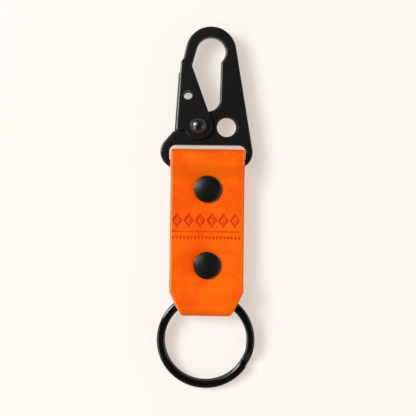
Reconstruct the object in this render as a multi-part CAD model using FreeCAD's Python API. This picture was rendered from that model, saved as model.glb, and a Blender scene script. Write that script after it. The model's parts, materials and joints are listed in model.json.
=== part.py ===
import FreeCAD
import Part
import math
import os

from FreeCAD import Vector

# A snap-hook key ring: a flat steel hook with a sprung gate, a leather strap and a split ring.
#
# Everything is modelled about the middle of the hook's strap bar, with X across the object,
# Y towards the hook's tip and Z up, and is moved to the object's own frame when it is written:
# origin in the middle of the bounding box at its lowest face. Millimetres and degrees.

# Where the middle of the strap bar lies in the object's own frame.
BAR_PLACE = Vector(0, 14.755, 3.85)

# Hook plate: a flat blank with rounded edges.
PLATE_HALF = 1.5
PLATE_EDGE = 0.6
BEND_CENTRE = Vector(0.75, 37.2, 0)
BEND_OUTER = 8.45
BEND_INNER = 4.85
RIGHT_CORNER = Vector(9.6, 3.85, 0)
LEFT_CORNER = Vector(-10.4, 3.85, 0)
CORNER_RADIUS = 5.35
NOSE_OUTER_LEAN = 13.0
NOSE_INNER_LEAN = 15.5
NOSE_END_RADIUS = 19.2
SPINE_CORNER = Vector(4.3, 33.5, 0)
THROAT_CENTRE = Vector(-0.15, 21.4, 0)
THROAT_RADIUS = 4.0
LEDGE_OUTER = Vector(-11.6, 10.7, 0)
LEDGE_ANGLE = 196.6
BOSS_RADIUS = 4.9
SLOT_LEFT = -12.8
SLOT_RIGHT = 12.6
SLOT_TOP = 6.2
SLOT_TOP_CORNER = 2.2
SLOT_BOTTOM_CORNER = 0.3
BAR_HALF = 1.5
EYE_CENTRE = Vector(6.16, 12.2, 0)
EYE_RADIUS = 3.2
EYE_CHAMFER = 0.65

# Gate: one folded sheet, two cheeks and a web, turning on the pivot rivet. It is cut from a solid blade,
# whose inside is taken out as far as HOLLOW_REACH across.
PIVOT = Vector(-3.11, 12.5, 0)
CHEEK_INNER = 1.65
SHEET = 1.0
CHEEK_OUTER = CHEEK_INNER + SHEET
LOBE_RADIUS = 4.6
TIP_CENTRE = Vector(-7.55, 33.0, 0)
TIP_RADIUS = 1.7
WEB_TOP = Vector(-9.85, 29.9, 0)
WEB_FOOT = Vector(-11.05, 11.15, 0)
WEB_STEP = 0.4
WEB_FOOT_DROP = 0.2
GATE_FOOT_INNER = Vector(-8.1, 11.1, 0)
GATE_FOOT_ANGLE = 206.0
FOLD_RADIUS = 1.1
CHEEK_EDGE = 0.25
HOLLOW_REACH = 16.0
PULL_CENTRE = Vector(-6.73, 22.6, 0)
PULL_RADIUS = 1.5

# Pivot rivet.
SHANK_RADIUS = 1.5
RUNNING_GAP = 0.05
HEAD_RADIUS = 2.9
HEAD_RIM = 0.15
HEAD_HEIGHT = 1.95
TAIL_RADIUS = 2.6
TAIL_HEIGHT = 0.95

# Torsion spring round the shank, in a pocket sunk in the plate's back face.
WIRE_RADIUS = 0.225
COIL_RADIUS = 2.4
HALF_TURNS = 4
HALF_TURN_RISE = 0.265
COIL_DEEP = -0.08
MOVING_LEG_ANGLE = 201.4
MOVING_LEG_LENGTH = 9.9
FIXED_LEG_LENGTH = 4.0
POCKET_RADIUS = 3.6
POCKET_FLOOR = 0.2
LEG_CLEARANCE = 0.1
RELIEF_START = 90.0
RELIEF_END = 166.0
RELIEF_RADIUS = 8.0

# Leather strap: one strip wrapped round the bar and the ring, riveted flat between them and thinned
# where it folds at its end.
LEATHER = 1.8
STRAP_HALF_WIDTH = 12.3
TOP_LOOP_INNER = 2.05
TOP_LOOP_RISE = 1.05
TOP_LOOP_APEX = -3.95
LOW_LOOP_APEX = -38.6
LOW_LOOP_SHOULDER = -42.05
LOW_LOOP_INNER = 2.05
LOW_LOOP_CORNER = 1.1
FOLD_END = -50.5
TAPER_START = -42.3
FOLD_HALF_WIDTH = 8.35
FOLD_SHEET = 1.5

# Double-cap rivets that close the strap.
RIVETS = {"upper": -8.4, "lower": -33.65}
CAP_RADIUS = 4.5
CAP_SHEET = 0.3
CAP_SEAT = 1.72
CAP_LIP_INNER = 3.9
CAP_SHOULDER = 2.2
CAP_CORNER = 0.45
CAP_TOP = 3.05
FLANGE_RADIUS = 4.1
FLANGE_BOTTOM = 2.08
FLANGE_SHEET = 0.25
SOCKET_RADIUS = 1.85
SOCKET_BORE = 1.35
SOCKET_END = -0.9
POST_RADIUS = 1.3
POST_COLLAR_TOP = -1.0
POST_TIP = 1.6
POST_CHAMFER = 0.25
HOLE_GAP = 0.05
CAP_RECESS_GAP = 0.05

# Split ring: one flat wire wound twice, tilted so that its far side reaches the ground.
RING_CENTRE_Y = -58.82
RING_OUTER = 16.35
RING_INNER = 13.65
COIL_THICKNESS = 1.3
COIL_GAP = 0.05
RING_EDGE = 0.5
JOG_ANGLE = -21.5
JOG_HALF = 10.0
JOG_SECTIONS = 9
END_GAP = 1.2
RING_TILT = 4.9
RING_TILT_Y = -45.7

UP = Vector(0, 0, 1)
ORIGIN = Vector(0, 0, 0)


def polar(centre, radius, angle):
    """The point at an angle round a centre, in the XY plane."""
    turn = math.radians(angle)
    return centre + Vector(radius * math.cos(turn), radius * math.sin(turn), 0)


def arc(centre, radius, start, end):
    """The start, middle and end of an arc."""
    return tuple(polar(centre, radius, a) for a in (start, (start + end) / 2, end))


def outline(*items):
    """A face bounded by corners and arcs, joined in order by straight edges."""
    edges = []
    ends = [(item[0], item[-1]) if isinstance(item, tuple) else (item, item) for item in items]
    for index, item in enumerate(items):
        if isinstance(item, tuple):
            edges.append(Part.Arc(*item).toShape())
        here = ends[index][1]
        there = ends[(index + 1) % len(items)][0]
        if here.distanceToPoint(there) > 1e-6:
            edges.append(Part.LineSegment(here, there).toShape())
    return Part.Face(Part.Wire(edges))


def slab(face, low, high):
    """A flat face in the XY plane drawn out from one height to another."""
    raised = face.copy()
    raised.translate(UP * low)
    return raised.extrude(UP * (high - low))


def disc(centre, radius, low, high):
    """An upright cylinder between two heights."""
    return Part.makeCylinder(radius, high - low, centre + UP * low, UP)


def tangent_angle(first, first_radius, second, second_radius, side):
    """The angle at which one straight edge touches two circles; side 1 is left of first to second."""
    along = second - first
    heading = math.degrees(math.atan2(along.y, along.x))
    spread = math.degrees(math.acos((first_radius - second_radius) / along.Length))
    return heading + side * spread


def meet_circle(start, direction, centre, radius):
    """Where a straight line from a point first meets a circle."""
    unit = Vector(direction)
    unit.normalize()
    offset = start - centre
    along = offset.dot(unit)
    reach = math.sqrt(along * along - offset.dot(offset) + radius * radius)
    return start + unit * (-along - reach if along < -reach else -along + reach)


def edges_at_height(shape, height):
    """The edges that lie wholly in one horizontal plane."""
    return [e for e in shape.Edges if all(abs(v.Z - height) < 1e-6 for v in e.Vertexes)
            and abs(e.CenterOfMass.z - height) < 1e-6]


def revolved(profile):
    """A solid of revolution about the Z axis, from a profile drawn as radius and height."""
    points = [Vector(radius, 0, height) for radius, height in profile]
    return Part.Face(Part.makePolygon(points + points[:1])).revolve(ORIGIN, UP, 360)


def plate_outline():
    """The hook's blank: bar, spine, round bend, nose, throat, boss and ledge."""
    right = tangent_angle(RIGHT_CORNER, CORNER_RADIUS, BEND_CENTRE, BEND_OUTER, -1)
    left = tangent_angle(LEFT_CORNER, CORNER_RADIUS, LEDGE_OUTER, 0, 1)
    nose_outer = 180 - NOSE_OUTER_LEAN
    nose_inner = 180 - NOSE_INNER_LEAN
    outer_start = polar(BEND_CENTRE, BEND_OUTER, nose_outer)
    inner_start = polar(BEND_CENTRE, BEND_INNER, nose_inner)
    outer_end = meet_circle(outer_start, polar(ORIGIN, 1, nose_outer + 90), PIVOT, NOSE_END_RADIUS)
    inner_end = meet_circle(inner_start, polar(ORIGIN, 1, nose_inner + 90), PIVOT, NOSE_END_RADIUS)
    nose_angles = [math.degrees(math.atan2(p.y - PIVOT.y, p.x - PIVOT.x)) for p in (outer_end, inner_end)]
    corner = SPINE_CORNER - BEND_CENTRE
    corner_angle = math.degrees(math.atan2(corner.y, corner.x))
    spine_top = polar(BEND_CENTRE, BEND_INNER, corner_angle)
    return outline(
        arc(RIGHT_CORNER, CORNER_RADIUS, -90, right),
        arc(BEND_CENTRE, BEND_OUTER, right, nose_outer),
        arc(PIVOT, NOSE_END_RADIUS, *nose_angles),
        arc(BEND_CENTRE, BEND_INNER, nose_inner, corner_angle),
        spine_top,
        arc(THROAT_CENTRE, THROAT_RADIUS, 0, -90),
        arc(PIVOT, BOSS_RADIUS, 90, LEDGE_ANGLE),
        LEDGE_OUTER,
        arc(LEFT_CORNER, CORNER_RADIUS, left, 270),
    )


def slot_outline():
    """The strap slot, with large upper corners and nearly square lower ones."""
    top, bottom = SLOT_TOP_CORNER, SLOT_BOTTOM_CORNER
    return outline(
        arc(Vector(SLOT_RIGHT - top, SLOT_TOP - top, 0), top, 0, 90),
        arc(Vector(SLOT_LEFT + top, SLOT_TOP - top, 0), top, 90, 180),
        arc(Vector(SLOT_LEFT + bottom, BAR_HALF + bottom, 0), bottom, 180, 270),
        arc(Vector(SLOT_RIGHT - bottom, BAR_HALF + bottom, 0), bottom, 270, 360),
    )


def spring_hollow():
    """The spring's space in the plate: a pocket, a groove for the fixed leg and a fan for the other."""
    back = -PLATE_HALF
    pocket = disc(PIVOT, POCKET_RADIUS, back, POCKET_FLOOR)
    start, end = fixed_leg()
    half = WIRE_RADIUS + LEG_CLEARANCE
    along = end - start
    groove = Part.makeBox(along.Length + half, 2 * half, POCKET_FLOOR - back,
                          Vector(0, -half, back - start.z))
    groove.rotate(ORIGIN, UP, math.degrees(math.atan2(along.y, along.x)))
    groove.translate(start)
    leg_height = COIL_DEEP - HALF_TURNS * HALF_TURN_RISE
    fan = outline(PIVOT, arc(PIVOT, RELIEF_RADIUS, RELIEF_START, RELIEF_END))
    relief = slab(fan, back, leg_height + half)
    return pocket.fuse([groove, relief])


def hook_frame():
    """The hook's plate with its slot, eye, pivot bore and spring pocket."""
    plate = slab(plate_outline().cut(slot_outline()).Faces[0], -PLATE_HALF, PLATE_HALF)
    rims = edges_at_height(plate, PLATE_HALF) + edges_at_height(plate, -PLATE_HALF)
    plate = plate.makeFillet(PLATE_EDGE, rims)
    eye = disc(EYE_CENTRE, EYE_RADIUS, -PLATE_HALF, PLATE_HALF)
    flare = Part.makeCone(EYE_RADIUS, EYE_RADIUS + EYE_CHAMFER, EYE_CHAMFER,
                          EYE_CENTRE + UP * (PLATE_HALF - EYE_CHAMFER), UP)
    bore = disc(PIVOT, SHANK_RADIUS + RUNNING_GAP, -PLATE_HALF, PLATE_HALF)
    return plate.cut([eye, flare, flare.mirror(ORIGIN, UP), bore, spring_hollow()])


def gate_outline():
    """The gate seen from the front: lobe, tapering blade, round tip and the web's straight back."""
    right = tangent_angle(PIVOT, LOBE_RADIUS, TIP_CENTRE, TIP_RADIUS, -1)
    back = WEB_TOP - WEB_FOOT
    left = math.degrees(math.atan2(back.y, back.x)) + 90
    step_top = Vector(WEB_TOP.x + WEB_STEP, WEB_TOP.y + WEB_STEP / 2, 0)
    return outline(
        arc(PIVOT, LOBE_RADIUS, GATE_FOOT_ANGLE - 360, right),
        arc(TIP_CENTRE, TIP_RADIUS, right, left),
        step_top,
        WEB_TOP,
        WEB_FOOT,
        GATE_FOOT_INNER,
    )


def gate():
    """The folded gate: a solid blade hollowed between the cheeks, open above and below the web."""
    blade = slab(gate_outline(), -CHEEK_OUTER, CHEEK_OUTER)
    folds = [e for e in blade.Edges
             if abs(abs(e.CenterOfMass.z) - CHEEK_OUTER) < 1e-6
             and e.CenterOfMass.distanceToPoint((WEB_TOP + WEB_FOOT) / 2 + UP * e.CenterOfMass.z) < 1e-3]
    blade = blade.makeFillet(FOLD_RADIUS, folds)
    inward = Vector(SHEET, 0, 0)
    along = WEB_TOP - WEB_FOOT
    across = Vector(HOLLOW_REACH, 0, 0)
    below = WEB_FOOT + inward - along
    above = WEB_TOP + inward + along
    hollow = outline(below, above, above + across, below + across)
    tip = outline(WEB_TOP - inward, above - across, above + across, WEB_TOP + across)
    blade = blade.cut([slab(face, -CHEEK_INNER, CHEEK_INNER) for face in (hollow, tip)])
    drop = Vector(0, -WEB_FOOT_DROP, 0)
    foot = slab(outline(WEB_FOOT, WEB_FOOT + drop, WEB_FOOT + drop + inward, WEB_FOOT + inward),
                -CHEEK_INNER, CHEEK_INNER)
    blade = blade.fuse(foot).removeSplitter()
    rims = [e for e in edges_at_height(blade, CHEEK_OUTER) + edges_at_height(blade, -CHEEK_OUTER)
            if e.CenterOfMass.x > WEB_TOP.x + FOLD_RADIUS]
    blade = blade.makeFillet(CHEEK_EDGE, rims)
    bore = disc(PIVOT, SHANK_RADIUS + RUNNING_GAP, -CHEEK_OUTER, CHEEK_OUTER)
    pull = disc(PULL_CENTRE, PULL_RADIUS, -CHEEK_OUTER, CHEEK_OUTER)
    return blade.cut([bore, pull])


def pivot_rivet():
    """The rivet: a domed head in front, a low peened tail behind."""
    seat = CHEEK_OUTER + RUNNING_GAP
    shank = disc(PIVOT, SHANK_RADIUS, -seat, seat)
    rim = disc(PIVOT, HEAD_RADIUS, seat, seat + HEAD_RIM)
    head = dome(HEAD_RADIUS, HEAD_HEIGHT - HEAD_RIM)
    head.translate(PIVOT + UP * (seat + HEAD_RIM))
    tail = dome(TAIL_RADIUS, TAIL_HEIGHT)
    tail.rotate(ORIGIN, Vector(1, 0, 0), 180)
    tail.translate(PIVOT - UP * seat)
    return shank.fuse([rim, head, tail]).removeSplitter()


def dome(radius, height):
    """A spherical cap standing on the XY plane."""
    ball = (radius * radius + height * height) / (2 * height)
    sphere = Part.makeSphere(ball, Vector(0, 0, height - ball))
    return sphere.common(disc(ORIGIN, radius * 2, 0, height * 2))


def fixed_leg():
    """Start and end of the spring's leg that sits in the plate."""
    angle = MOVING_LEG_ANGLE + HALF_TURNS * 180
    start = polar(PIVOT, coil_reach(), angle) + UP * COIL_DEEP
    return start, start + polar(ORIGIN, FIXED_LEG_LENGTH, angle + 90)


def moving_leg():
    """Start and end of the spring's leg that bears on the gate's web."""
    height = COIL_DEEP - HALF_TURNS * HALF_TURN_RISE
    start = polar(PIVOT, coil_reach(), MOVING_LEG_ANGLE) + UP * height
    return start, start + polar(ORIGIN, MOVING_LEG_LENGTH, MOVING_LEG_ANGLE - 90)


def half_turn_lean():
    """How far one half turn of the coil leans, so that its ends differ in height by the rise."""
    return math.asin(HALF_TURN_RISE / 2 / COIL_RADIUS)


def coil_reach():
    """How far a half turn's ends are from the coil's axis once it leans."""
    return COIL_RADIUS * math.cos(half_turn_lean())


def gate_spring():
    """The torsion spring: leaning half turns that climb to the front, with two straight legs."""
    section = Part.Face(Part.Wire(Part.makeCircle(WIRE_RADIUS, Vector(COIL_RADIUS, 0, 0), Vector(0, 1, 0))))
    bottom = COIL_DEEP - HALF_TURNS * HALF_TURN_RISE
    pieces = []
    for index in range(HALF_TURNS):
        half_turn = section.revolve(ORIGIN, UP, 180)
        half_turn.rotate(ORIGIN, Vector(0, 1, 0), math.degrees(half_turn_lean()))
        half_turn.rotate(ORIGIN, UP, MOVING_LEG_ANGLE + 180 * index)
        half_turn.translate(PIVOT + UP * (bottom + (index + 0.5) * HALF_TURN_RISE))
        pieces.append(half_turn)
    for start, end in (fixed_leg(), moving_leg()):
        pieces.append(Part.makeCylinder(WIRE_RADIUS, (end - start).Length, start, end - start))
    return pieces[0].fuse(pieces[1:])


def strap_side():
    """The strap seen from its side, as a face in the XY plane with Y standing for height."""
    outer = TOP_LOOP_INNER + LEATHER
    top_lean = math.degrees(math.asin(TOP_LOOP_INNER / -TOP_LOOP_APEX))
    loop_top = Vector(TOP_LOOP_RISE, 0, 0)
    kink = TOP_LOOP_APEX - LEATHER * math.tan(math.radians(top_lean / 2))
    low_outer = LOW_LOOP_INNER + LEATHER
    low_lean = math.degrees(math.atan2(LOW_LOOP_INNER, LOW_LOOP_APEX - LOW_LOOP_SHOULDER))
    low_kink = LOW_LOOP_APEX + LEATHER * math.tan(math.radians(low_lean / 2))
    shoulder = LOW_LOOP_SHOULDER + LEATHER * math.tan(math.radians(low_lean / 2))
    corner = LOW_LOOP_CORNER + LEATHER
    upper_half = [
        arc(loop_top, outer, 0, 90),
        arc(ORIGIN, outer, 90, 90 + top_lean),
        Vector(kink, LEATHER, 0),
        Vector(low_kink, LEATHER, 0),
        Vector(shoulder, low_outer, 0),
        arc(Vector(FOLD_END + corner, low_outer - corner, 0), corner, 90, 180),
    ]
    lower_half = [mirrored(item) for item in reversed(upper_half)]
    body = outline(*upper_half, *lower_half)
    return body.cut([top_hollow(top_lean), low_hollow()])


def mirrored(item):
    """The same corner or arc on the other side of the middle line, in the reverse order."""
    if isinstance(item, tuple):
        return tuple(Vector(p.x, -p.y, 0) for p in reversed(item))
    return Vector(item.x, -item.y, 0)


def top_hollow(lean):
    """The drop-shaped space that the strap leaves round the hook's bar."""
    return outline(
        arc(ORIGIN, TOP_LOOP_INNER, -90 - lean, -90),
        arc(Vector(TOP_LOOP_RISE, 0, 0), TOP_LOOP_INNER, -90, 90),
        arc(ORIGIN, TOP_LOOP_INNER, 90, 90 + lean),
        Vector(TOP_LOOP_APEX, 0, 0),
    )


def low_hollow():
    """The longer space that the strap leaves round the curve of the ring."""
    end = FOLD_END + FOLD_SHEET + LOW_LOOP_CORNER
    rise = LOW_LOOP_INNER - LOW_LOOP_CORNER
    return outline(
        Vector(LOW_LOOP_APEX, 0, 0),
        Vector(LOW_LOOP_SHOULDER, LOW_LOOP_INNER, 0),
        arc(Vector(end, rise, 0), LOW_LOOP_CORNER, 90, 180),
        arc(Vector(end, -rise, 0), LOW_LOOP_CORNER, 180, 270),
        Vector(LOW_LOOP_SHOULDER, -LOW_LOOP_INNER, 0),
    )


def strap():
    """The leather strip, narrowed towards the ring, with a hole and two dimples for each rivet."""
    side = strap_side()
    side.rotate(ORIGIN, Vector(1, 0, 0), 90)
    side.rotate(ORIGIN, UP, 90)
    side.translate(Vector(-STRAP_HALF_WIDTH, 0, 0))
    body = side.extrude(Vector(2 * STRAP_HALF_WIDTH, 0, 0))
    top = TOP_LOOP_RISE + TOP_LOOP_INNER + 2 * LEATHER
    plan = outline(
        Vector(STRAP_HALF_WIDTH, top, 0),
        Vector(-STRAP_HALF_WIDTH, top, 0),
        Vector(-STRAP_HALF_WIDTH, TAPER_START, 0),
        Vector(-FOLD_HALF_WIDTH, FOLD_END, 0),
        Vector(FOLD_HALF_WIDTH, FOLD_END, 0),
        Vector(STRAP_HALF_WIDTH, TAPER_START, 0),
    )
    body = body.common(slab(plan, -top, top))
    cuts = []
    for y in RIVETS.values():
        centre = Vector(0, y, 0)
        dimple = disc(centre, CAP_RADIUS + CAP_RECESS_GAP, CAP_SEAT - CAP_RECESS_GAP, top)
        cuts.append(disc(centre, SOCKET_RADIUS + HOLE_GAP, -top, top))
        cuts.append(dimple)
        cuts.append(dimple.mirror(ORIGIN, UP))
    return body.cut(cuts)


def rivet_cap():
    """A thin domed cap with its rim turned in under the rivet's flange."""
    inner = CAP_RADIUS - CAP_SHEET
    outer_skin = cap_skin(CAP_RADIUS, CAP_SEAT, CAP_SHOULDER, CAP_TOP, CAP_CORNER)
    hollow = cap_skin(inner, CAP_SEAT + CAP_SHEET, CAP_SHOULDER, CAP_TOP - CAP_SHEET,
                      CAP_CORNER - CAP_SHEET)
    mouth = disc(ORIGIN, CAP_LIP_INNER, CAP_SEAT, CAP_SHOULDER)
    return outer_skin.cut([hollow, mouth])


def cap_skin(radius, low, shoulder, top, corner):
    """A squat dome: upright rim, rounded shoulder and a shallow crown."""
    crown_edge = Vector(radius - corner, 0, shoulder + corner)
    crown_top = Vector(0, 0, top)
    rise = top - crown_edge.z
    crown = (crown_edge.x ** 2 + rise ** 2) / (2 * rise)
    half_turn = math.asin(crown_edge.x / crown) / 2
    crown_mid = Vector(crown * math.sin(half_turn), 0, top - crown * (1 - math.cos(half_turn)))
    bulge = corner * math.sqrt(0.5)
    edges = [
        Part.LineSegment(Vector(0, 0, low), Vector(radius, 0, low)).toShape(),
        Part.LineSegment(Vector(radius, 0, low), Vector(radius, 0, shoulder)).toShape(),
        Part.Arc(Vector(radius, 0, shoulder),
                 Vector(radius - corner + bulge, 0, shoulder + bulge), crown_edge).toShape(),
        Part.Arc(crown_edge, crown_mid, crown_top).toShape(),
        Part.LineSegment(crown_top, Vector(0, 0, low)).toShape(),
    ]
    return Part.Face(Part.Wire(edges)).revolve(ORIGIN, UP, 360)


def rivet_socket():
    """The rivet's female half: a flange under the front cap and a tube into the leather."""
    flange_top = FLANGE_BOTTOM + FLANGE_SHEET
    return revolved([
        (SOCKET_BORE, SOCKET_END), (SOCKET_RADIUS, SOCKET_END), (SOCKET_RADIUS, FLANGE_BOTTOM),
        (FLANGE_RADIUS, FLANGE_BOTTOM), (FLANGE_RADIUS, flange_top), (SOCKET_BORE, flange_top),
    ])


def rivet_post():
    """The rivet's male half: a flange over the back cap and a post that ends in the socket."""
    flange_low = -FLANGE_BOTTOM - FLANGE_SHEET
    return revolved([
        (0, flange_low), (FLANGE_RADIUS, flange_low), (FLANGE_RADIUS, -FLANGE_BOTTOM),
        (SOCKET_RADIUS, -FLANGE_BOTTOM), (SOCKET_RADIUS, POST_COLLAR_TOP),
        (POST_RADIUS, POST_COLLAR_TOP), (POST_RADIUS, POST_TIP - POST_CHAMFER),
        (POST_RADIUS - POST_CHAMFER, POST_TIP), (0, POST_TIP),
    ])


def ring_section(height):
    """The ring wire's rounded section at angle 0, as a closed wire about the ring's own centre."""
    low = height - COIL_THICKNESS / 2
    high = height + COIL_THICKNESS / 2
    bulge = RING_EDGE * (1 - math.sqrt(0.5))
    corners = [(RING_INNER, low, 1, 1), (RING_OUTER, low, -1, 1),
               (RING_OUTER, high, -1, -1), (RING_INNER, high, 1, -1)]
    arcs = []
    for x, z, inward, upward in corners:
        beside = Vector(x + inward * RING_EDGE, 0, z)
        above = Vector(x, 0, z + upward * RING_EDGE)
        middle = Vector(x + inward * bulge, 0, z + upward * bulge)
        arcs.append((above, middle, beside) if inward == upward else (beside, middle, above))
    edges = []
    for index, points in enumerate(arcs):
        edges.append(Part.Arc(*points).toShape())
        edges.append(Part.LineSegment(points[2], arcs[(index + 1) % len(arcs)][0]).toShape())
    return Part.Wire(edges)


def ring_turn(height, start, end):
    """One turn of the ring's wire between two angles."""
    turn = Part.Face(ring_section(height)).revolve(ORIGIN, UP, end - start)
    turn.rotate(ORIGIN, UP, start)
    return turn


def ring_jog(low, high):
    """The short sloping stretch that takes the wire from the lower turn to the upper one."""
    sections = []
    for index in range(JOG_SECTIONS):
        part = index / (JOG_SECTIONS - 1)
        ease = part * part * (3 - 2 * part)
        section = ring_section(low + (high - low) * ease)
        section.rotate(ORIGIN, UP, JOG_ANGLE - JOG_HALF + 2 * JOG_HALF * part)
        sections.append(section)
    return Part.makeLoft(sections, True, False)


def split_ring():
    """The split ring: a lower turn, the jog and an upper turn, with both free ends beside the jog."""
    high = (COIL_THICKNESS + COIL_GAP) / 2
    before = JOG_ANGLE - JOG_HALF
    after = JOG_ANGLE + JOG_HALF
    lower = ring_turn(-high, after + END_GAP, before + 360)
    upper = ring_turn(high, after, before + 360 - END_GAP)
    ring = lower.fuse([ring_jog(-high, high), upper]).removeSplitter()
    ring.translate(Vector(0, RING_CENTRE_Y, 0))
    ring.rotate(Vector(0, RING_TILT_Y, 0), Vector(1, 0, 0), RING_TILT)
    return ring


def write(node, shape):
    """Move a piece to the object's frame and write it as parts/NODE.step."""
    solid = shape.Solids[0] if len(shape.Solids) == 1 else shape
    solid.translate(BAR_PLACE)
    if not solid.isValid() or len(shape.Solids) != 1:
        print("not one valid solid:", node, len(shape.Solids))
    solid.exportStep(os.path.join("parts", node + ".step"))
    box = solid.BoundBox
    print("%-18s volume %8.2f  X %7.2f %7.2f  Y %7.2f %7.2f  Z %6.2f %6.2f" % (
        node, solid.Volume, box.XMin, box.XMax, box.YMin, box.YMax, box.ZMin, box.ZMax))


def main():
    os.makedirs("parts", exist_ok=True)
    write("hook_frame", hook_frame())
    write("gate", gate())
    write("pivot_rivet", pivot_rivet())
    write("gate_spring", gate_spring())
    write("strap", strap())
    write("split_ring", split_ring())
    for name, y in RIVETS.items():
        front = {"front_cap": rivet_cap(), "socket": rivet_socket(), "post": rivet_post(),
                 "back_cap": rivet_cap().mirror(ORIGIN, UP)}
        for piece, shape in front.items():
            shape.translate(Vector(0, y, 0))
            write("%s_rivet_%s" % (name, piece), shape)


main()
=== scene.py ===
import json
import math

import bpy
import numpy as np
from mathutils import Matrix, Vector, noise


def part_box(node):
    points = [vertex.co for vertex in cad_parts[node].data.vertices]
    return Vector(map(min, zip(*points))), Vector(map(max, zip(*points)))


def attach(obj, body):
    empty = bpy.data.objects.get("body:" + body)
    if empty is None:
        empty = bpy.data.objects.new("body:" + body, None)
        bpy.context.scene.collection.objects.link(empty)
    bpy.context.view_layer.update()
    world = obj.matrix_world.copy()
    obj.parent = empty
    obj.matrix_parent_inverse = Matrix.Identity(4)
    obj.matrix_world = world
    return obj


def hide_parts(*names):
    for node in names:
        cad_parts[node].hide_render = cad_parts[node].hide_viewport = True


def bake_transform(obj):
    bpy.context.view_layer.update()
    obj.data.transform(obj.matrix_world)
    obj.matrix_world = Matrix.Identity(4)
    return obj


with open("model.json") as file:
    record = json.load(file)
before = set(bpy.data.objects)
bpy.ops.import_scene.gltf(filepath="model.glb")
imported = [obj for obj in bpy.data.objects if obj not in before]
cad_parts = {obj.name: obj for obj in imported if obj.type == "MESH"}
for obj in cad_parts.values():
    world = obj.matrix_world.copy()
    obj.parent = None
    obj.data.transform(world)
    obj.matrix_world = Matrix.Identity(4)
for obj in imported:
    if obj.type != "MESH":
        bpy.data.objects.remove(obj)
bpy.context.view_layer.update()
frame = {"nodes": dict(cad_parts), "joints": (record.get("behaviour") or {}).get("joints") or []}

# Looks of the snap-hook key ring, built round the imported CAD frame: metres, in the CAD's own frame.

MM = 0.001
JOINTS = {joint["name"]: joint for joint in frame["joints"]}
BAR = Vector(JOINTS["strap_swing"]["pos_m"])
PIVOT = Vector(JOINTS["gate_pivot"]["pos_m"])
RING_CENTRE = Vector(JOINTS["ring_spin"]["pos_m"])
RING_AXIS = Vector(JOINTS["ring_spin"]["axis"]).normalized()


# ---------------------------------------------------------------- materials

def new_material(name):
    """An empty node material and its shader."""
    material = bpy.data.materials.new(name)
    material.use_nodes = True
    return material, material.node_tree.nodes["Principled BSDF"]


def node(material, kind, inputs=None, **settings):
    """A node with its settings, and its inputs given as values or as sockets to link."""
    made = material.node_tree.nodes.new(kind)
    for key, value in settings.items():
        setattr(made, key, value)
    for key, value in (inputs or {}).items():
        if isinstance(value, bpy.types.NodeSocket):
            material.node_tree.links.new(value, made.inputs[key])
        else:
            made.inputs[key].default_value = value
    return made


def link(material, source, target):
    """Join an output socket to an input socket."""
    material.node_tree.links.new(source, target)


def position(material):
    """The rest position of the surface, which stays with the piece when it moves."""
    return node(material, "ShaderNodeTexCoord").outputs["Object"]


def cloud(material, where, size, detail=3.0, roughness=0.55):
    """Soft noise whose blotches are about one size across."""
    inputs = {"Vector": where, "Scale": 1 / size, "Detail": detail, "Roughness": roughness}
    return node(material, "ShaderNodeTexNoise", inputs).outputs["Fac"]


def spread(material, value, low, high, to_low, to_high):
    """A value moved from one range to another, held at its ends."""
    inputs = {"Value": value, "From Min": low, "From Max": high, "To Min": to_low, "To Max": to_high}
    return node(material, "ShaderNodeMapRange", inputs).outputs["Result"]


def blend_colour(material, amount, first, second):
    """One colour turning into another."""
    mix = node(material, "ShaderNodeMix", data_type="RGBA")
    for index, value in ((0, amount), (6, first), (7, second)):
        if isinstance(value, bpy.types.NodeSocket):
            link(material, value, mix.inputs[index])
        elif index:
            mix.inputs[index].default_value = (*value, 1)
        else:
            mix.inputs[index].default_value = value
    return mix.outputs[2]


def bump(material, height, strength, distance, onto=None):
    """A bump of a given depth, laid over another bump if there is one."""
    inputs = {"Height": height, "Strength": strength, "Distance": distance}
    if onto is not None:
        inputs["Normal"] = onto
    return node(material, "ShaderNodeBump", inputs).outputs["Normal"]


def point_value(material, name):
    """A value stored on the mesh's points."""
    return node(material, "ShaderNodeAttribute", attribute_name=name).outputs["Fac"]


def leather_material():
    """Smooth dyed leather: fine pores and wrinkles, pressed marks darker, cut edges burnished and painted
    lighter, partly their own raw colour and partly a painted highlight.
    """
    material, shader = new_material("orange_leather")
    where = position(material)
    mottle = cloud(material, where, 9 * MM, 4.0)
    fine = cloud(material, where, 0.7 * MM, 5.0, 0.75)
    tone = node(material, "ShaderNodeMath", {0: mottle, 1: fine}, operation="ADD").outputs[0]
    face = blend_colour(material, spread(material, tone, 0.85, 1.15, 0, 1),
                        (0.95, 0.088, 0.0004), (1.0, 0.155, 0.0014))
    pressed = point_value(material, "pressed")
    face = blend_colour(material, spread(material, pressed, 0, 1, 0, 0.75), face, (0.78, 0.052, 0.0005))
    edge = point_value(material, "edge")
    fibre = cloud(material, where, 0.35 * MM, 4.0, 0.8)
    # Lighter orange on the cut edges: partly the raw edge colour, partly a painted highlight.
    raw_edge_and_highlight = blend_colour(material, fibre, (0.9, 0.15, 0.012), (1.0, 0.3, 0.06))
    colour = blend_colour(material, edge, face, raw_edge_and_highlight)
    link(material, colour, shader.inputs["Base Color"])
    rough = spread(material, fine, 0.3, 0.7, 0.4, 0.56)
    link(material, rough, shader.inputs["Roughness"])
    shader.inputs["Specular IOR Level"].default_value = 0.1
    pores = node(material, "ShaderNodeTexVoronoi", {"Vector": where, "Scale": 1 / (0.42 * MM)},
                 feature="SMOOTH_F1").outputs["Distance"]
    grain = bump(material, pores, 0.28, 0.05 * MM)
    grain = bump(material, fine, 0.22, 0.1 * MM, grain)
    grain = bump(material, mottle, 0.3, 0.4 * MM, grain)
    link(material, grain, shader.inputs["Normal"])
    return material


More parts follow.
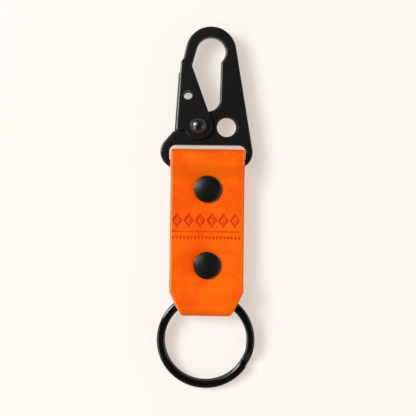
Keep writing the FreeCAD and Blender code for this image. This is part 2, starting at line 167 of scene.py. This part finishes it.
def coated_steel(name, dark, light, roughness, speck_depth, sheen, edge_width):
    """Black coated metal: a fine eggshell surface, slightly uneven, with edges painted lighter, partly as
    coat worn thin and partly as a painted highlight.
    """
    material, shader = new_material(name)
    where = position(material)
    speck = cloud(material, where, 0.16 * MM, 2.0)
    smear = cloud(material, where, 5 * MM, 4.0, 0.65)
    scuff = cloud(material, where, 0.6 * MM, 5.0, 0.75)
    coat = blend_colour(material, spread(material, smear, 0.35, 0.65, 0, 1), dark, light)
    softened = node(material, "ShaderNodeBevel", {"Radius": edge_width}, samples=6).outputs["Normal"]
    flat = node(material, "ShaderNodeNewGeometry").outputs["True Normal"]
    facing = node(material, "ShaderNodeVectorMath", {0: softened, 1: flat}, operation="DOT_PRODUCT")
    edge = spread(material, facing.outputs["Value"], 1.0, 0.9, 0, 0.5)
    # Edge mask for the lighter edge colour: partly coat worn thin, partly a painted highlight along every
    # edge.
    worn_edge_and_highlight = node(material, "ShaderNodeMath", {0: edge, 1: spread(material, scuff, 0.4, 0.7, 0.2, 1)},
                  operation="MULTIPLY").outputs[0]
    link(material, blend_colour(material, worn_edge_and_highlight, coat, (0.05, 0.05, 0.051)), shader.inputs["Base Color"])
    low, high = roughness
    link(material, spread(material, scuff, 0.3, 0.7, low, high), shader.inputs["Roughness"])
    shader.inputs["Specular IOR Level"].default_value = sheen
    grain = bump(material, speck, 0.15, speck_depth, softened)
    link(material, bump(material, smear, 0.2, 0.04 * MM, grain), shader.inputs["Normal"])
    return material


def bare_metal(name, base, roughness):
    """Plain metal with fine drawing marks."""
    material, shader = new_material(name)
    where = position(material)
    marks = cloud(material, where, 0.25 * MM, 5.0, 0.7)
    dark = tuple(0.7 * part for part in base)
    link(material, blend_colour(material, marks, dark, base), shader.inputs["Base Color"])
    rough = spread(material, marks, 0.3, 0.7, roughness, roughness + 0.15)
    link(material, rough, shader.inputs["Roughness"])
    shader.inputs["Metallic"].default_value = 1.0
    link(material, bump(material, marks, 0.3, 0.02 * MM), shader.inputs["Normal"])
    return material


def floor_material():
    """A matt warm-white sheet that glows a little, so that shadows on it stay pale."""
    material, shader = new_material("paper")
    where = position(material)
    fibre = cloud(material, where, 0.8 * MM, 3.0)
    link(material, blend_colour(material, fibre, (0.455, 0.46, 0.465), (0.47, 0.475, 0.48)),
         shader.inputs["Base Color"])
    shader.inputs["Roughness"].default_value = 0.9
    shader.inputs["Specular IOR Level"].default_value = 0.1
    shader.inputs["Emission Color"].default_value = (1.0, 0.91, 0.83, 1)
    shader.inputs["Emission Strength"].default_value = FLOOR_GLOW
    return material


# ---------------------------------------------------------------- mesh helpers

def add_piece(name, points, faces, material, body, nodes, smooth_angle=None):
    """A smooth-shaded mesh piece that rides on a body and stands for CAD nodes."""
    mesh = bpy.data.meshes.new(name)
    mesh.from_pydata([tuple(p) for p in points], [], faces)
    mesh.update()
    piece = bpy.data.objects.new(name, mesh)
    bpy.context.scene.collection.objects.link(piece)
    mesh.polygons.foreach_set("use_smooth", [True] * len(mesh.polygons))
    if smooth_angle is not None:
        mesh.set_sharp_from_angle(angle=math.radians(smooth_angle))
    mesh.materials.append(material)
    if body:
        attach(piece, body)
    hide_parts(*nodes)
    return piece


def tube_faces(rings, around):
    """Faces of a tube with closed ends, made of rings of points with the same number round each."""
    faces = []
    for i in range(rings - 1):
        here, there = i * around, (i + 1) * around
        for j in range(around):
            k = (j + 1) % around
            faces.append((here + j, here + k, there + k, there + j))
    faces.append(tuple(reversed(range(around))))
    faces.append(tuple((rings - 1) * around + j for j in range(around)))
    return faces


def lathe(profile, centre, turn_points=96):
    """Points and faces of a closed solid of revolution whose profile starts and ends on the axis."""
    inner = profile[1:-1]
    points = [centre + Vector((0, 0, profile[0][1]))]
    for radius, height in inner:
        for step in range(turn_points):
            angle = 2 * math.pi * step / turn_points
            points.append(centre + Vector((radius * math.cos(angle), radius * math.sin(angle), height)))
    points.append(centre + Vector((0, 0, profile[-1][1])))
    faces = []
    last = len(points) - 1
    base = 1 + (len(inner) - 1) * turn_points
    for step in range(turn_points):
        after = (step + 1) % turn_points
        faces.append((0, 1 + after, 1 + step))
        for row in range(len(inner) - 1):
            a = 1 + row * turn_points
            b = a + turn_points
            faces.append((a + step, a + after, b + after, b + step))
        faces.append((base + step, base + after, last))
    return points, faces


def curve_points(centre, radius, start, end, count):
    """Points along an arc in a profile, as pairs."""
    angles = [math.radians(start + (end - start) * i / count) for i in range(count + 1)]
    return [(centre[0] + radius * math.cos(a), centre[1] + radius * math.sin(a)) for a in angles]


def sharp_cad(name, material):
    """Give a CAD node its finish."""
    piece = frame["nodes"][name]
    piece.data.materials.clear()
    piece.data.materials.append(material)


# ---------------------------------------------------------------- leather strap

STRAP_LOW, STRAP_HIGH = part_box("strap")
LEATHER = 1.78 * MM
HALF_LEATHER = LEATHER / 2
LAYER_GAP = 0.02 * MM
FLAT_MIDDLE = HALF_LEATHER + LAYER_GAP
JOINT_GAP = 0.1 * MM
STRAP_HALF_WIDTH = (STRAP_HIGH.x - STRAP_LOW.x) / 2
STRAP_MIDDLE = (STRAP_LOW.z + STRAP_HIGH.z) / 2
LOOP_RADIUS = STRAP_HIGH.z - STRAP_MIDDLE - HALF_LEATHER
LOOP_CORNER = 0.8 * LOOP_RADIUS
LOOP_SHOULDER = 0.3 * MM
SHOULDER_BEND = 2.6 * MM
LOOP_APEX = 4.6 * MM
APEX_BEND = 5.0 * MM
FOLD_APEX_GAP = 0.2 * MM
FOLD_SLOPE = 3.6 * MM
FOLD_BEND = 4.5 * MM
FOLD_LENGTH = 8.2 * MM
FOLD_HALF_WIDTH = 8.35 * MM
FOLD_CORNER = 2.0 * MM
TAPER_SOFTNESS = 0.25 * MM
PATH_STEP = 0.25 * MM
MARK_ROW = 0.13 * MM
FRONT_CAP_ROW = 0.22 * MM
FRONT_ROW = 0.35 * MM
BACK_CAP_ROW = 0.3 * MM
BACK_ROW = 0.5 * MM
WAVE_SIZE = 7 * MM
WAVE_DEPTH = 0.07 * MM
EDGE_WAVE = 0.5
CAP_BOXES = [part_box(name) for name in ("upper_rivet_front_cap", "lower_rivet_front_cap")]
CAP_PLACES = [(low + high) / 2 for low, high in CAP_BOXES]
CAP_HALF = (CAP_BOXES[0][1].x - CAP_BOXES[0][0].x) / 2
CAP_MARGIN = 1.2 * MM


def rounded_path(corners, step):
    """Points along straight runs joined by arcs; corners are (point, radius), the ends with radius 0."""
    points = [Vector(corners[0][0])]
    for before, here, after in zip(corners, corners[1:], corners[2:]):
        corner, radius = Vector(here[0]), here[1]
        back = (Vector(before[0]) - corner).normalized()
        ahead = (Vector(after[0]) - corner).normalized()
        half = back.angle(ahead) / 2
        reach = radius / math.tan(half)
        centre = corner + (back + ahead).normalized() * (radius / math.sin(half))
        start = corner + back * reach - centre
        turn = math.pi - 2 * half
        side = 1 if back.x * ahead.y - back.y * ahead.x < 0 else -1
        count = max(6, int(radius * turn / step))
        for i in range(count + 1):
            angle = side * turn * i / count
            cosine, sine = math.cos(angle), math.sin(angle)
            points.append(centre + Vector((start.x * cosine - start.y * sine,
                                           start.x * sine + start.y * cosine)))
    points.append(Vector(corners[-1][0]))
    return points


def even_points(points, spacing):
    """The same line with points whose spacing depends on how far along the strap they are."""
    lengths = [0.0]
    for a, b in zip(points, points[1:]):
        lengths.append(lengths[-1] + (b - a).length)
    ys = [p.x for p in points]
    zs = [p.y for p in points]
    made = []
    along = 0.0
    while along < lengths[-1]:
        y = float(np.interp(along, lengths, ys))
        made.append(Vector((y, float(np.interp(along, lengths, zs)))))
        along += spacing(y)
    made.append(Vector(points[-1]))
    return made


def front_line():
    """The middle of the leather's front half, from the top of the loop to the bottom fold, as (y, z)."""
    bottom = STRAP_LOW.y + HALF_LEATHER
    upper = STRAP_HIGH.y - HALF_LEATHER
    fold_apex = CAP_PLACES[1].y - CAP_HALF - FOLD_APEX_GAP
    corners = [
        ((upper, 0), 0),
        ((upper, LOOP_RADIUS), LOOP_CORNER),
        ((BAR.y - LOOP_SHOULDER, LOOP_RADIUS), SHOULDER_BEND),
        ((BAR.y - LOOP_APEX, FLAT_MIDDLE), APEX_BEND),
        ((fold_apex, FLAT_MIDDLE), FOLD_BEND),
        ((fold_apex - FOLD_SLOPE, LOOP_RADIUS), FOLD_BEND),
        ((bottom, LOOP_RADIUS), FOLD_CORNER),
        ((bottom, 0), 0),
    ]
    return rounded_path(corners, PATH_STEP)


MARK_TOP = BAR.y - 16.2 * MM
MARK_BOTTOM = BAR.y - 25.8 * MM
MARK_HALF_WIDTH = 11.5 * MM
DIAMOND_COUNT = 6
DIAMOND_HALF_HEIGHT = 2.45 * MM
DIAMOND_Y = BAR.y - 18.85 * MM
RULE_Y = BAR.y - 22.55 * MM
DOT_COUNT = 19
DOT_RADIUS = 0.5 * MM
DOT_Y = BAR.y - 24.55 * MM
STROKE = 0.45 * MM
CORE_INSET = 1.25 * MM
MARK_DEPTH = 0.3 * MM
MARK_SOFTNESS = 0.11 * MM


def near_cap(y):
    """Whether a place along the strap is under a rivet cap or close to one."""
    return any(abs(y - cap.y) < CAP_HALF + CAP_MARGIN for cap in CAP_PLACES)


def front_spacing(y):
    """Rows are close together in the pressed mark and round the caps, and wider elsewhere."""
    if MARK_BOTTOM < y < MARK_TOP:
        return MARK_ROW
    if near_cap(y):
        return FRONT_CAP_ROW
    return FRONT_ROW


def back_spacing(y):
    """Rows on the plain back are wider apart."""
    if near_cap(y):
        return BACK_CAP_ROW
    return BACK_ROW


def mark_distance(x, y):
    """How far a point is from the pressed diamonds, rule and dots; negative is inside them."""
    pitch = 2 * MARK_HALF_WIDTH / DIAMOND_COUNT
    cell = (x + MARK_HALF_WIDTH) % pitch - pitch / 2
    half = pitch / 2
    slope = math.hypot(half, DIAMOND_HALF_HEIGHT)
    tall = DIAMOND_HALF_HEIGHT
    rim = (abs(cell) * tall + abs(y - DIAMOND_Y) * half - half * tall) / slope
    frame_line = abs(rim + STROKE) - STROKE
    core = rim + CORE_INSET
    rule = abs(y - RULE_Y) - STROKE / 2
    dot_pitch = 2 * MARK_HALF_WIDTH / DOT_COUNT
    dot_x = (x + MARK_HALF_WIDTH) % dot_pitch - dot_pitch / 2
    dot = math.hypot(dot_x, y - DOT_Y) - DOT_RADIUS
    inside = min(frame_line, core, rule, dot)
    return max(inside, abs(x) - MARK_HALF_WIDTH)


def soft_step(value, width):
    """1 well below zero, 0 well above it."""
    t = min(max(0.5 - value / (2 * width), 0), 1)
    return t * t * (3 - 2 * t)


def strap_half_width(y):
    """Half the strap's width: straight, then tapering to the fold with a slightly softened corner."""
    taper = FOLD_HALF_WIDTH + (y - STRAP_LOW.y) * (STRAP_HALF_WIDTH - FOLD_HALF_WIDTH) / FOLD_LENGTH
    straight = min(max(0.5 + (taper - STRAP_HALF_WIDTH) / (2 * TAPER_SOFTNESS), 0), 1)
    rounding = TAPER_SOFTNESS * straight * (1 - straight)
    return taper + (STRAP_HALF_WIDTH - taper) * straight - rounding


CAP_PRESS = 0.34 * MM
CAP_PRESS_SPREAD = 1.6 * MM


def cap_dimple(x, y):
    """How far the caps push the leather's outer face in."""
    drop = 0.0
    for cap in CAP_PLACES:
        away = math.hypot(x, y - cap.y)
        beyond = max(away - CAP_HALF, 0)
        drop += CAP_PRESS * math.exp(-beyond / CAP_PRESS_SPREAD)
    return drop


def strap_rows():
    """Every row of the strip from one end of the back joint round to the other: (point, front part)."""
    front = even_points(front_line(), front_spacing)
    back = even_points(front_line(), back_spacing)
    joint = (CAP_PLACES[0].y + CAP_PLACES[1].y) / 2
    upper_end = Vector((joint + JOINT_GAP / 2, FLAT_MIDDLE))
    lower_end = Vector((joint - JOINT_GAP / 2, FLAT_MIDDLE))
    upper = [p for p in back[1:-1] if p.x > joint + JOINT_GAP] + [upper_end]
    lower = [lower_end] + [p for p in back[1:-1] if p.x < joint - JOINT_GAP]
    upper_back = [(Vector((p.x, -p.y)), 0) for p in reversed(upper)]
    lower_back = [(Vector((p.x, -p.y)), 0) for p in reversed(lower)]
    return upper_back + [(p, 1) for p in front] + lower_back


OUTER_COLUMNS = 150
INNER_COLUMNS = 36
EDGE_POINTS = 7
OUTER_EDGE = (0.85 * MM, 0.7 * MM)
INNER_EDGE = (0.3 * MM, 0.3 * MM)


def strap_section(half_width):
    """One cross-section of the strip: (x, height from the middle, outer 1 to inner 0, edge 0 to 1)."""
    section = []
    outer_flat = half_width - OUTER_EDGE[0]
    inner_flat = half_width - INNER_EDGE[0]
    for i in range(OUTER_COLUMNS + 1):
        section.append((-outer_flat + 2 * outer_flat * i / OUTER_COLUMNS, HALF_LEATHER, 1, 0))
    right = []
    for i in range(1, EDGE_POINTS + 1):
        turn = math.pi / 2 * i / EDGE_POINTS
        right.append((outer_flat + OUTER_EDGE[0] * math.sin(turn),
                      HALF_LEATHER - OUTER_EDGE[1] * (1 - math.cos(turn)), 1 - i / EDGE_POINTS, 1))
    for i in range(EDGE_POINTS):
        turn = math.pi / 2 * i / EDGE_POINTS
        right.append((inner_flat + INNER_EDGE[0] * math.cos(turn),
                      INNER_EDGE[1] * (1 - math.sin(turn)) - HALF_LEATHER, 0, 1))
    section += right
    for i in range(INNER_COLUMNS + 1):
        section.append((inner_flat - 2 * inner_flat * i / INNER_COLUMNS, -HALF_LEATHER, 0, 0))
    section += [(-x, height, outer, edge) for x, height, outer, edge in reversed(right)]
    return section


def build_strap(material):
    """The leather strip, wrapped, debossed and dimpled under the rivets."""
    rows = strap_rows()
    points, pressed, edges = [], [], []
    for index, (here, front) in enumerate(rows):
        before = rows[max(index - 1, 0)][0]
        after = rows[min(index + 1, len(rows) - 1)][0]
        along = (after - before).normalized()
        outward = Vector((along.y, -along.x))
        half_width = strap_half_width(here.x + outward.x * HALF_LEATHER)
        section = strap_section(half_width)
        for x, height, outer, edge in section:
            wave = noise.noise(Vector((x, here.x, here.y)) / WAVE_SIZE) * WAVE_DEPTH
            y = here.x + outward.x * height
            drop, mark = cap_dimple(x, y), 0.0
            if front and MARK_BOTTOM < y < MARK_TOP:
                mark = soft_step(mark_distance(x, y), MARK_SOFTNESS)
                drop += MARK_DEPTH * mark
            offset = height - outer * drop + (wave if outer else 0)
            points.append(Vector((x + wave * EDGE_WAVE, here.x + outward.x * offset,
                                  STRAP_MIDDLE + here.y + outward.y * offset)))
            pressed.append(mark * outer)
            edges.append(edge)
    piece = add_piece("leather_strap", points, tube_faces(len(rows), len(section)), material,
                      "strap", ["strap"])
    for name, values in (("pressed", pressed), ("edge", edges)):
        piece.data.attributes.new(name, "FLOAT", "POINT").data.foreach_set("value", values)
    return piece


# ---------------------------------------------------------------- rivets

def dome_profile(radius, rim, height, edge):
    """A low dome's profile from its axis at the bottom to its axis at the top."""
    crown_half = radius - edge
    rise = height - rim - edge
    crown = (crown_half ** 2 + rise ** 2) / (2 * rise)
    profile = [(0, 0), (radius - 0.3 * edge, 0), (radius, 0.3 * edge)]
    profile += curve_points((radius - edge, rim), edge, 0, 90, 8)
    for i in range(1, 14):
        r = crown_half * (1 - i / 14)
        profile.append((r, height - crown + math.sqrt(crown ** 2 - r ** 2)))
    return profile + [(0, height)]


CAP_SINK = 0.3 * MM
CAP_RIM = 0.28 * MM
CAP_SHOULDER = 0.5 * MM


def build_cap(name, material):
    """A double-cap rivet's shell seen from outside: rim sunk in the leather, shoulder and shallow crown."""
    low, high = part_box(name)
    centre = (low + high) / 2
    front = centre.z > STRAP_MIDDLE
    height = high.z - low.z
    profile = dome_profile(CAP_HALF, CAP_SINK + CAP_RIM, height + CAP_SINK, CAP_SHOULDER)
    points, faces = lathe(profile, Vector())
    seat = Matrix.Translation((centre.x, centre.y, low.z - CAP_SINK if front else high.z + CAP_SINK))
    turn = Matrix.Identity(4) if front else Matrix.Rotation(math.pi, 4, "X")
    points = [seat @ turn @ p for p in points]
    return add_piece(name + "_shell", points, faces, material, "strap", [name], 35)


def build_pivot(material):
    """The gate's rivet: domed head, shank and peened tail, turned as one piece."""
    low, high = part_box("pivot_rivet")
    middle = PIVOT.z
    head_radius = (high.x - low.x) / 2
    seat = 2.7 * MM
    tail_radius = 2.6 * MM
    shank = 1.5 * MM
    rim = 0.15 * MM
    head_top = high.z - middle
    tail_end = low.z - middle
    crown = head_top - seat - rim
    head = (head_radius ** 2 + crown ** 2) / (2 * crown)
    tail = (tail_radius ** 2 + (tail_end + seat) ** 2) / (-2 * (tail_end + seat))
    profile = [(0, tail_end)]
    for i in range(1, 13):
        r = tail_radius * math.sin(math.pi / 2 * i / 12)
        profile.append((r, tail_end + tail - math.sqrt(tail ** 2 - r ** 2)))
    break_edge = 0.06 * MM
    profile += [(shank, -seat), (shank, seat)]
    profile += [(head_radius - break_edge, seat), (head_radius, seat + break_edge)]
    for i in range(20):
        r = head_radius * math.cos(math.pi / 2 * i / 20)
        profile.append((r, head_top - head + math.sqrt(head ** 2 - r ** 2)))
    profile.append((0, head_top))
    points, faces = lathe(profile, Vector((PIVOT.x, PIVOT.y, middle)))
    return add_piece("pivot_rivet_turned", points, faces, material, "hook",
                     ["pivot_rivet"], 35)


# ---------------------------------------------------------------- split ring

RING_OUTER = 16.35 * MM
RING_INNER = 13.65 * MM
WIRE_THICKNESS = 1.3 * MM
WIRE_GAP = 0.05 * MM
WIRE_SQUARENESS = 2.3
WIRE_AROUND = 36
JOG_START = -31.5
JOG_END = -11.5
END_GAP = 1.2
END_SHRINK = 0.86
TURN_STEP = 1.5


def wire_section():
    """The ring wire's flattened oval section as (radius, height) pairs about its middle."""
    half_width = (RING_OUTER - RING_INNER) / 2
    half_height = WIRE_THICKNESS / 2
    section = []
    for i in range(WIRE_AROUND):
        angle = 2 * math.pi * i / WIRE_AROUND
        across, up = math.cos(angle), math.sin(angle)
        section.append((half_width * math.copysign(abs(across) ** (2 / WIRE_SQUARENESS), across),
                        half_height * math.copysign(abs(up) ** (2 / WIRE_SQUARENESS), up)))
    return section


def build_ring(material):
    """The split ring's flat wire, wound twice, stepping from the lower turn to the upper at the jog."""
    step_up = WIRE_THICKNESS + WIRE_GAP
    start = JOG_END + END_GAP
    end = JOG_START + 720 - END_GAP
    section = wire_section()
    middle = (RING_OUTER + RING_INNER) / 2
    lean = Vector((0, 0, 1)).rotation_difference(RING_AXIS).to_matrix().to_4x4()
    place = Matrix.Translation(RING_CENTRE) @ lean
    points = []
    steps = int((end - start) / TURN_STEP)
    for i in range(steps + 1):
        angle = start + (end - start) * i / steps
        part = min(max((angle - 360 - JOG_START) / (JOG_END - JOG_START), 0), 1)
        height = step_up * (part * part * (3 - 2 * part) - 0.5)
        shrink = END_SHRINK if i in (0, steps) else 1
        turn = math.radians(angle)
        for r, z in section:
            radius = middle + r * shrink
            across, along = radius * math.cos(turn), radius * math.sin(turn)
            points.append(place @ Vector((across, along, height + z * shrink)))
    return add_piece("split_ring_wire", points, tube_faces(steps + 1, len(section)), material,
                     "ring", ["split_ring"], 40)


# ---------------------------------------------------------------- gate spring

SPRING_WIRE = 0.225 * MM
SPRING_COIL = 2.4 * MM
SPRING_TURNS = 2
SPRING_LEG_ANGLE = 201.4
MOVING_LEG = 9.9 * MM
FIXED_LEG = 4.0 * MM
SPRING_AROUND = 14
TURN_POINTS = 40
MOVING_LEG_POINTS = 12
FIXED_LEG_POINTS = 6


def build_spring(material):
    """The torsion spring, which winds up between its fixed leg and the leg on the gate."""
    low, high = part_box("gate_spring")
    bottom = low.z + SPRING_WIRE
    top = high.z - SPRING_WIRE
    count = SPRING_TURNS * TURN_POINTS
    line = []
    first = math.radians(SPRING_LEG_ANGLE)
    heading = Vector((math.sin(first), -math.cos(first), 0))
    begin = Vector((PIVOT.x + SPRING_COIL * math.cos(first),
                    PIVOT.y + SPRING_COIL * math.sin(first), bottom))
    for i in range(MOVING_LEG_POINTS, 0, -1):
        line.append(begin + heading * (MOVING_LEG * i / MOVING_LEG_POINTS))
    for i in range(count + 1):
        angle = first + 2 * math.pi * SPRING_TURNS * i / count
        line.append(Vector((PIVOT.x + SPRING_COIL * math.cos(angle),
                            PIVOT.y + SPRING_COIL * math.sin(angle),
                            bottom + (top - bottom) * i / count)))
    tail = line[-1].copy()
    for i in range(1, FIXED_LEG_POINTS + 1):
        line.append(tail - heading * (FIXED_LEG * i / FIXED_LEG_POINTS))
    points = []
    for index, here in enumerate(line):
        along = (line[min(index + 1, len(line) - 1)] - line[max(index - 1, 0)]).normalized()
        side = along.cross(Vector((0, 0, 1))).normalized()
        rise = side.cross(along)
        for j in range(SPRING_AROUND):
            angle = 2 * math.pi * j / SPRING_AROUND
            points.append(here + (side * math.cos(angle) + rise * math.sin(angle)) * SPRING_WIRE)
    piece = add_piece("gate_spring_wire", points, tube_faces(len(line), SPRING_AROUND), material, None,
                      ["gate_spring"], 50)
    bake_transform(piece)


# ---------------------------------------------------------------- stage, lights, camera

FLOOR_GLOW = 0.545


def build_floor():
    """A wide sheet of pale paper under the object."""
    half = 3.0
    corners = [(-half, -half, 0), (half, -half, 0), (half, half, 0), (-half, half, 0)]
    mesh = bpy.data.meshes.new("floor")
    mesh.from_pydata(corners, [], [(0, 1, 2, 3)])
    floor = bpy.data.objects.new("floor", mesh)
    bpy.context.scene.collection.objects.link(floor)
    mesh.materials.append(floor_material())
    floor.location.z = -0.02 * MM


def area_light(name, place, size, power, colour):
    """A soft round light aimed at the object."""
    data = bpy.data.lights.new(name, "AREA")
    data.shape = "DISK"
    data.size = size
    data.energy = power
    data.color = colour
    light = bpy.data.objects.new(name, data)
    light.location = place
    light.rotation_euler = (-Vector(place)).to_track_quat("-Z", "Y").to_euler()
    bpy.context.scene.collection.objects.link(light)


WORLD_BRIGHT_BELOW = 0.45
WORLD_DARK_ABOVE = 0.8
WORLD_STRENGTH = 0.42


def build_world():
    """Dim warm light from all round, dark overhead."""
    world = bpy.data.worlds.new("studio")
    bpy.context.scene.world = world
    world.use_nodes = True
    nodes, links = world.node_tree.nodes, world.node_tree.links
    where = nodes.new("ShaderNodeTexCoord")
    split = nodes.new("ShaderNodeSeparateXYZ")
    ramp = nodes.new("ShaderNodeValToRGB")
    links.new(where.outputs["Generated"], split.inputs[0])
    links.new(split.outputs["Z"], ramp.inputs["Fac"])
    ramp.color_ramp.elements[0].position = WORLD_BRIGHT_BELOW
    ramp.color_ramp.elements[0].color = (1.0, 0.9, 0.82, 1)
    ramp.color_ramp.elements[1].position = WORLD_DARK_ABOVE
    ramp.color_ramp.elements[1].color = (0.12, 0.11, 0.1, 1)
    links.new(ramp.outputs["Color"], nodes["Background"].inputs["Color"])
    nodes["Background"].inputs["Strength"].default_value = WORLD_STRENGTH


def build_lights():
    """A key lamp low on the left, a soft panel above it, one beside it and a weak fill on the right."""
    area_light("key", (-1.46, 0.52, 1.24), 0.75, 28.0, (0.95, 0.98, 1.0))
    area_light("panel", (-1.3, 0.75, 1.8), 1.6, 17.0, (1.0, 0.95, 0.9))
    area_light("side", (-1.55, -0.75, 1.1), 1.2, 9.0, (1.0, 0.97, 0.94))
    area_light("fill", (1.5, -0.4, 1.1), 1.3, 4.0, (1.0, 0.95, 0.9))


CAMERA_DISTANCE = 240 * MM
VIEW_WIDTH = 138.7 * MM
VIEW_CENTRE = Vector((0.3 * MM, 0.1 * MM, BAR.z))
CAMERA_UP = Vector((-0.0113, 1, 0))


def build_camera():
    """Straight above the object, as in the picture, with the object turned by under a degree."""
    data = bpy.data.cameras.new("camera")
    data.lens = data.sensor_width * CAMERA_DISTANCE / VIEW_WIDTH
    camera = bpy.data.objects.new("camera", data)
    bpy.context.scene.collection.objects.link(camera)
    up = CAMERA_UP.normalized()
    right = up.cross(Vector((0, 0, 1)))
    turn = Matrix((right, up, Vector((0, 0, 1)))).transposed()
    camera.matrix_world = Matrix.Translation(VIEW_CENTRE + Vector((0, 0, CAMERA_DISTANCE))) @ turn.to_4x4()
    data.clip_start = 0.01
    data.clip_end = 10
    bpy.context.scene.camera = camera


def main():
    leather = leather_material()
    hook_black = coated_steel("black_steel", (0.0035, 0.0035, 0.0036), (0.0055, 0.0055, 0.0057),
                              (0.24, 0.34), 0.008 * MM, 0.5, 0.15 * MM)
    ring_black = coated_steel("black_wire", (0.002, 0.002, 0.0021), (0.003, 0.003, 0.0031),
                              (0.1, 0.16), 0.002 * MM, 0.6, 0.05 * MM)
    cap_black = coated_steel("cap_black", (0.004, 0.004, 0.0042), (0.006, 0.006, 0.0062),
                             (0.24, 0.3), 0.002 * MM, 0.6, 0.1 * MM)
    pivot_black = coated_steel("pivot_black", (0.004, 0.004, 0.0042), (0.006, 0.006, 0.0062),
                               (0.18, 0.24), 0.001 * MM, 0.9, 0.05 * MM)
    brass = bare_metal("rivet_metal", (0.62, 0.45, 0.2), 0.3)
    spring = bare_metal("spring_steel", (0.5, 0.5, 0.51), 0.25)
    build_strap(leather)
    for name in ("hook_frame", "gate"):
        sharp_cad(name, hook_black)
    for rivet in ("upper", "lower"):
        for part in ("socket", "post"):
            sharp_cad(rivet + "_rivet_" + part, brass)
        for part in ("front_cap", "back_cap"):
            build_cap(rivet + "_rivet_" + part, cap_black)
    build_pivot(pivot_black)
    build_ring(ring_black)
    build_spring(spring)
    build_floor()
    build_world()
    build_lights()
    build_camera()
    bpy.context.scene.view_settings.view_transform = "Standard"


main()
